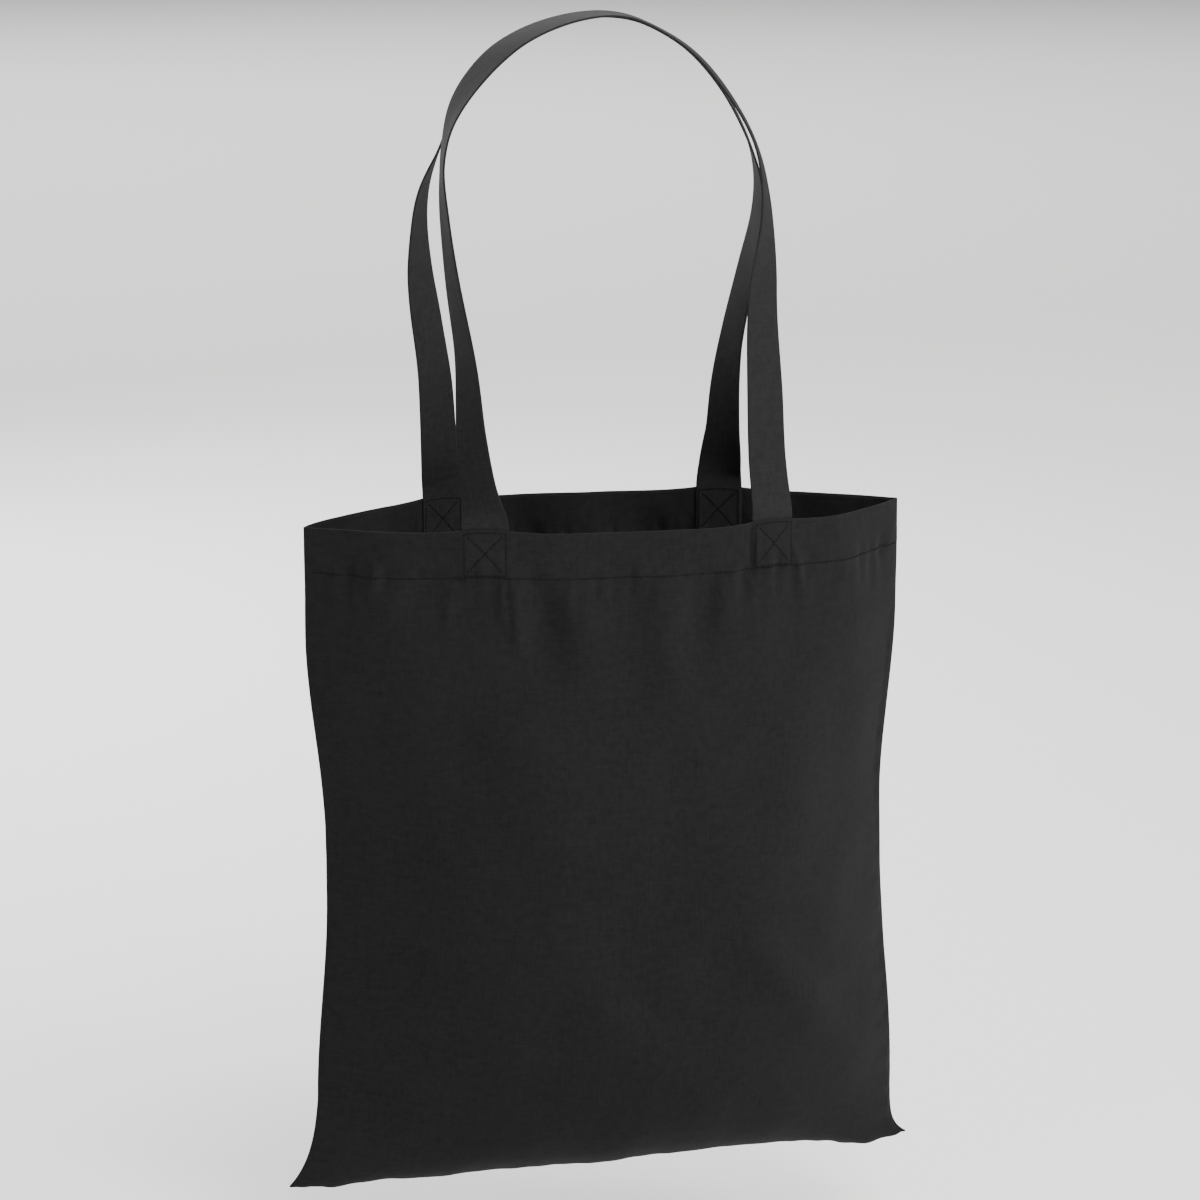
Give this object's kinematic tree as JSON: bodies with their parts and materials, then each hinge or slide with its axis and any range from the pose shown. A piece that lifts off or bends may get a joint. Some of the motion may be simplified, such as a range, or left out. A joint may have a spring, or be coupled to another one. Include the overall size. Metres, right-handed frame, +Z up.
{
  "type": "canvas tote bag",
  "caption": "Open cloth shopping bag with two long sewn-on shoulder handles, a turned hem round the mouth and a flat-sewn bottom.",
  "frame": {"origin": "the hanging point: midway between the tops of the two handles, on their underside, where a hook, arm or shoulder carries the bag", "axes": "+X along the mouth to the right, -Y towards the front panel, +Z up"},
  "size_m": [0.3792, 0.1592, 0.6811],
  "materials": {
    "canvas": "matte plain-woven cotton, faded black, slightly slubby",
    "hem": "the same cloth turned in and stitched",
    "strap": "the same cloth folded lengthwise into a flat strap, edge-stitched",
    "seam_allowance": "raw edges bound by overlock thread",
    "thread": "dull black spun thread"
  },
  "bodies": {
    "bag": {"front_panel": "canvas", "rear_panel": "canvas", "front_hem": "hem", "rear_hem": "hem", "left_side_seam": "seam_allowance", "right_side_seam": "seam_allowance", "bottom_seam": "seam_allowance", "front_handle_left_end": "strap", "front_handle_right_end": "strap", "rear_handle_left_end": "strap", "rear_handle_right_end": "strap", "front_left_box_stitch": "thread", "front_right_box_stitch": "thread", "rear_left_box_stitch": "thread", "rear_right_box_stitch": "thread", "front_hem_stitching": "thread", "rear_hem_stitching": "thread"},
    "front_handle_loop": {"front_handle": "strap"},
    "rear_handle_loop": {"rear_handle": "strap"}
  },
  "joints": [
    {"name": "front_handle_swing", "type": "hinge", "parent": "bag", "child": "front_handle_loop", "pos_m": [-0.00033, -0.05736, -0.283], "axis": [0.9979, -0.0653, 0], "range_deg": [0, 165]},
    {"name": "rear_handle_swing", "type": "hinge", "parent": "bag", "child": "rear_handle_loop", "pos_m": [0.00036, 0.06081, -0.283], "axis": [-0.9976, 0.0696, 0], "range_deg": [0, 165]}
  ]
}
